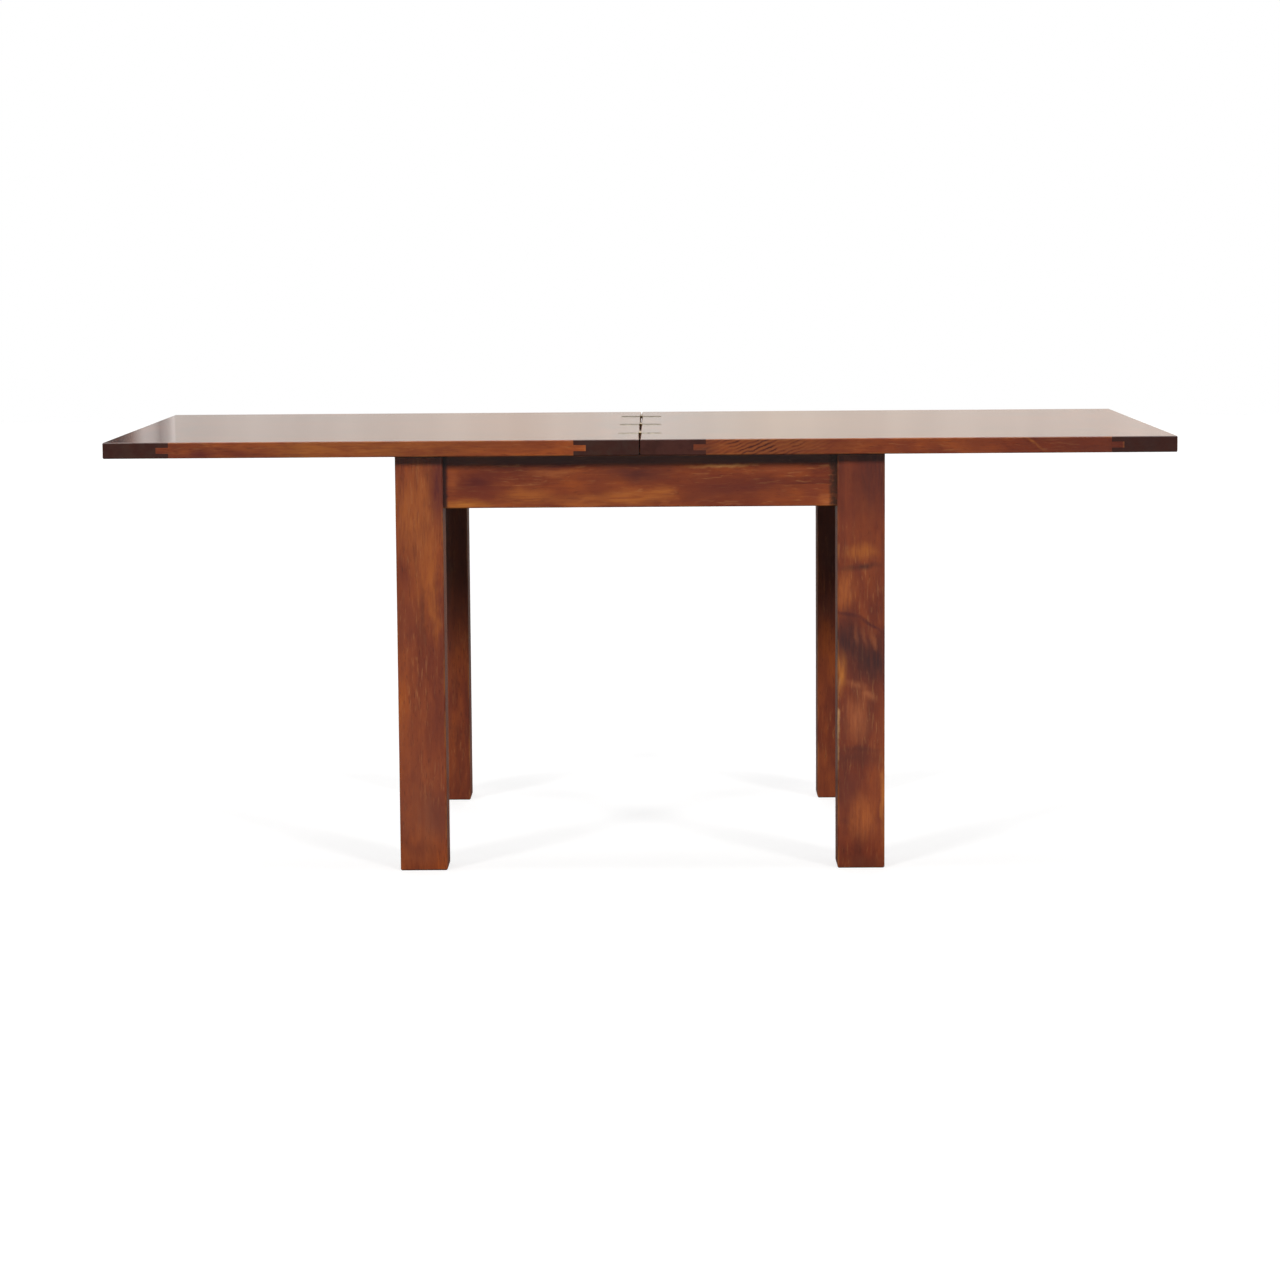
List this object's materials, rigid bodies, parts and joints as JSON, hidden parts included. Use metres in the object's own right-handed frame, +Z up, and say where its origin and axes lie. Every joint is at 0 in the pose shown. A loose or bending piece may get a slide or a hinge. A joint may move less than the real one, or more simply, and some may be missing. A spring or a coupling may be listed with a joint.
{
  "type": "butterfly extension table",
  "caption": "Square dining table on square posts whose hinged upper leaf folds over the other, and the pair slides on runners to sit centred or to double the length.",
  "frame": {"origin": "on the floor, under the middle of the open table", "axes": "+X along the open table to the right, from the sliding leaf to the folding leaf; +Y from front to back; +Z up"},
  "size_m": [1.8, 0.9, 0.7391],
  "materials": {
    "leaf_wood": "stained and lacquered, satin",
    "base_wood": "stained and lacquered, satin",
    "frame_wood": "stained, thin lacquer",
    "brass": "aged brass",
    "steel": "zinc plated",
    "felt": "pressed felt"
  },
  "bodies": {
    "base": {"apron_back": "base_wood", "apron_front": "base_wood", "apron_left": "base_wood", "apron_right": "base_wood", "corner_brace_back_left": "frame_wood", "corner_brace_back_right": "frame_wood", "corner_brace_front_left": "frame_wood", "corner_brace_front_right": "frame_wood", "corner_brace_screws": "steel", "glide_strip_back": "felt", "glide_strip_front": "felt", "guide_rail_back": "frame_wood", "guide_rail_front": "frame_wood", "guide_rail_screws": "steel", "leg_back_left": "base_wood", "leg_back_right": "base_wood", "leg_front_left": "base_wood", "leg_front_right": "base_wood"},
    "carrier_leaf": {"hinge_pin_back": "brass", "hinge_pin_front": "brass", "hinge_pin_middle": "brass", "left_hinge_plate_back": "brass", "left_hinge_plate_front": "brass", "left_hinge_plate_middle": "brass", "left_hinge_screws": "steel", "left_leaf_board_1": "leaf_wood", "left_leaf_board_2": "leaf_wood", "left_leaf_board_3": "leaf_wood", "left_leaf_board_4": "leaf_wood", "left_leaf_board_5": "leaf_wood", "left_leaf_board_6": "leaf_wood", "left_leaf_board_7": "leaf_wood", "left_leaf_inner_cleat": "leaf_wood", "left_leaf_outer_cleat": "leaf_wood", "runner_back": "frame_wood", "runner_front": "frame_wood", "runner_screws": "steel"},
    "flap_leaf": {"right_hinge_plate_back": "brass", "right_hinge_plate_front": "brass", "right_hinge_plate_middle": "brass", "right_hinge_screws": "steel", "right_leaf_board_1": "leaf_wood", "right_leaf_board_2": "leaf_wood", "right_leaf_board_3": "leaf_wood", "right_leaf_board_4": "leaf_wood", "right_leaf_board_5": "leaf_wood", "right_leaf_board_6": "leaf_wood", "right_leaf_board_7": "leaf_wood", "right_leaf_inner_cleat": "leaf_wood", "right_leaf_outer_cleat": "leaf_wood"}
  },
  "joints": [
    {"name": "top_slide", "type": "slide", "parent": "base", "child": "carrier_leaf", "axis": [1, 0, 0], "range_m": [0, 0.4505]},
    {"name": "leaf_fold", "type": "hinge", "parent": "carrier_leaf", "child": "flap_leaf", "pos_m": [0, 0, 0.7365], "axis": [0, -1, 0], "range_deg": [0, 180]}
  ]
}
